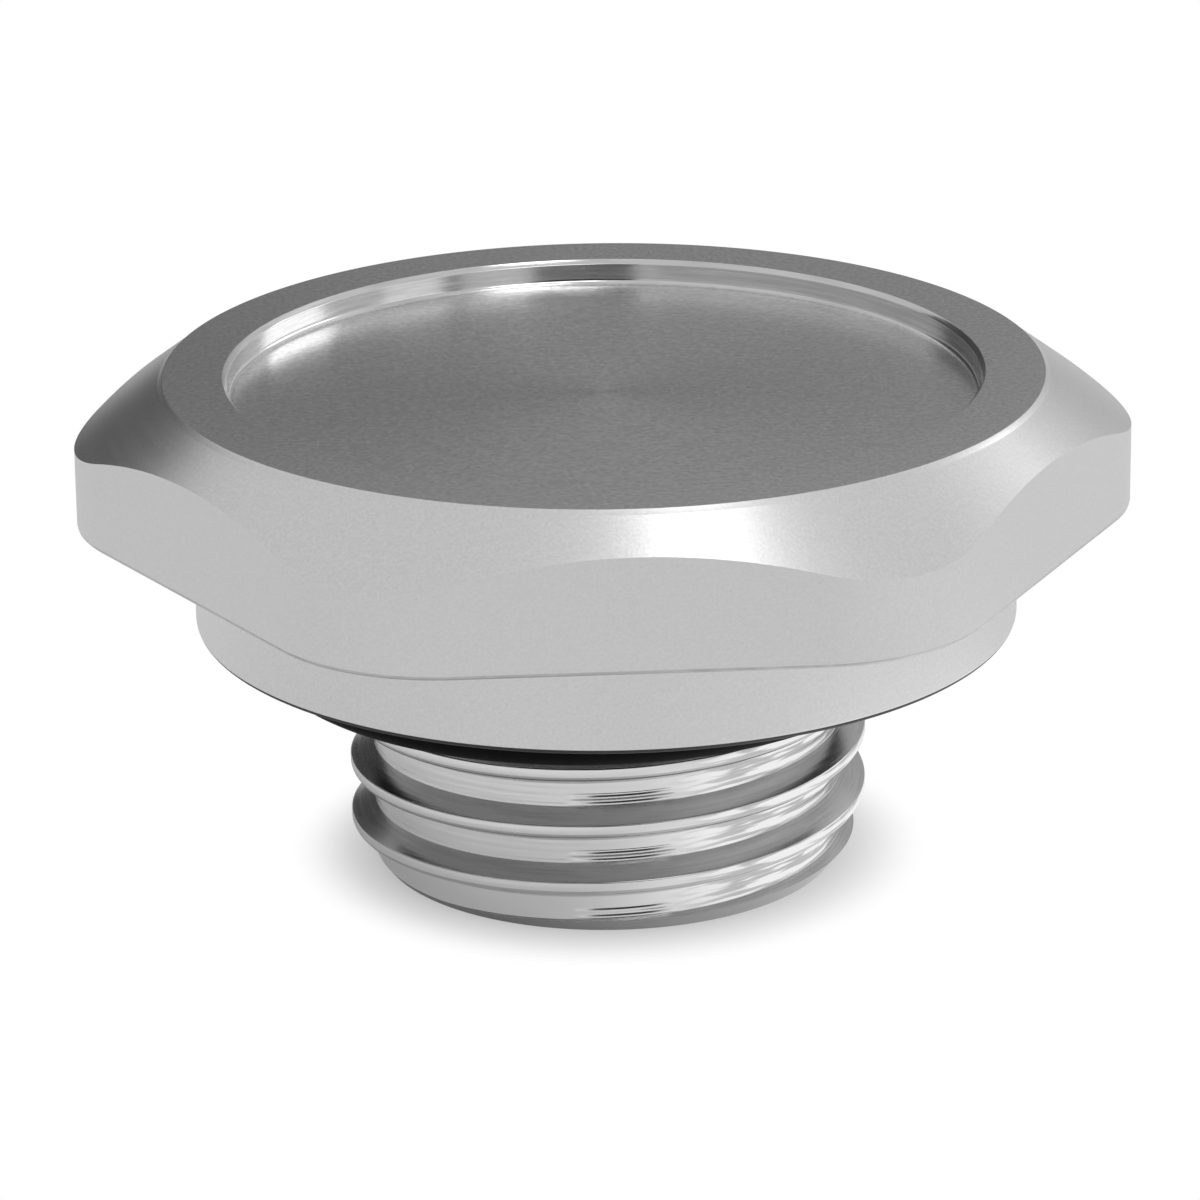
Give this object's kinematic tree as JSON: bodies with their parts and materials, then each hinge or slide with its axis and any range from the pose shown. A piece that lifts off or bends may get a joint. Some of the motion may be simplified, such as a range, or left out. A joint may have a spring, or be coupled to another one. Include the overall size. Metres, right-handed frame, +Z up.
{
  "type": "oil cap cover, a screw-in oil filler cap",
  "caption": "Metal screw-in filler cap with a chamfered hexagonal head, a shallow round recess on top, a round collar, a rubber seal ring and a coarse threaded neck.",
  "frame": {"origin": "centre of the neck's end face, which the cap stands on", "axes": "+Z up the thread axis, from the neck's end to the top of the head; two corners of the head lie on the X axis and two flats face +Y and -Y"},
  "size_m": [0.0708, 0.0644, 0.0341],
  "materials": {
    "turned_aluminium": "fine turned, satin on the head and collar, bright on the thread",
    "black_rubber": "smooth, slightly oily"
  },
  "bodies": {
    "root": {"cap_body": "turned_aluminium", "seal_ring": "black_rubber"}
  },
  "joints": []
}
